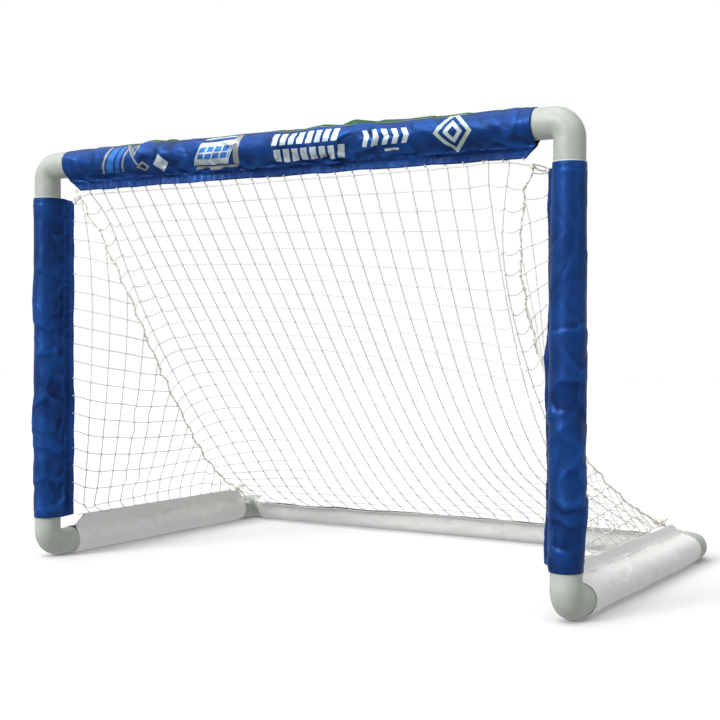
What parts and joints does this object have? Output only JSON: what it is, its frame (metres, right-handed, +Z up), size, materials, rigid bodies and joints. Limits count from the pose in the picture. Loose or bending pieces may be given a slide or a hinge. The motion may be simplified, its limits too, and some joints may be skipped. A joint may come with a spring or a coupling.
{
  "type": "hockey goal net",
  "caption": "Small tube-frame hockey goal with padded cloth sleeves on the posts, crossbar and base, and a loose square-mesh net.",
  "frame": {"origin": "on the floor, at the middle of the goal's width and depth", "axes": "+X along the crossbar, to the right of someone facing the mouth; +Y from the mouth to the back; +Z up"},
  "size_m": [0.732, 0.472, 0.508],
  "materials": {
    "tube_plastic": "satin",
    "elbow_plastic": "satin",
    "blue_cloth": "satin",
    "white_cloth": "satin",
    "net_twine": "matte",
    "seam_cord": "matte"
  },
  "bodies": {
    "root": {"crossbar_tube": "tube_plastic", "rear_bar_tube": "tube_plastic", "left_post_tube": "tube_plastic", "right_post_tube": "tube_plastic", "left_rail_tube": "tube_plastic", "right_rail_tube": "tube_plastic", "top_left_elbow": "elbow_plastic", "top_right_elbow": "elbow_plastic", "front_left_elbow": "elbow_plastic", "front_right_elbow": "elbow_plastic", "rear_left_elbow": "elbow_plastic", "rear_right_elbow": "elbow_plastic", "crossbar_sleeve": "blue_cloth", "left_post_sleeve": "blue_cloth", "right_post_sleeve": "blue_cloth", "left_rail_sleeve": "white_cloth", "right_rail_sleeve": "white_cloth", "rear_bar_sleeve": "white_cloth", "net_back_panel": "net_twine", "net_left_side_panel": "net_twine", "net_right_side_panel": "net_twine", "left_seam_cord": "seam_cord", "right_seam_cord": "seam_cord", "top_left_tie": "seam_cord", "top_right_tie": "seam_cord", "rear_left_tie": "seam_cord", "rear_right_tie": "seam_cord"}
  },
  "joints": []
}
